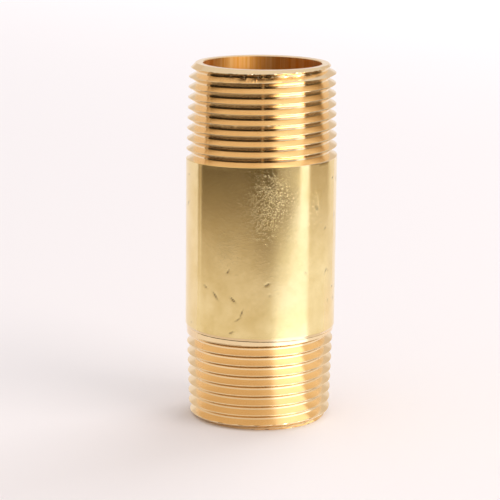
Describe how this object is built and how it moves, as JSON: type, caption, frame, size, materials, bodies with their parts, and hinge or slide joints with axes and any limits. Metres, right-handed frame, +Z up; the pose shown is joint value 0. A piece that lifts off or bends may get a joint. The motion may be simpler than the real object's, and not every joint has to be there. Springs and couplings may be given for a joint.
{
  "type": "pipe nipple",
  "caption": "Short brass tube with a right-hand taper pipe thread on the outside of each end and a plain middle, for joining two female pipe fittings.",
  "frame": {"origin": "centre of the lower end face, which it stands on", "axes": "+Z up along the bore towards the upper end; +X to the right and -Y towards the viewer of the front, which differ only in where the threads start"},
  "size_m": [0.0266, 0.0266, 0.0635],
  "materials": {
    "brass": "machined on the threads, drawn tube between them"
  },
  "bodies": {
    "root": {"pipe_nipple": "brass"}
  },
  "joints": []
}
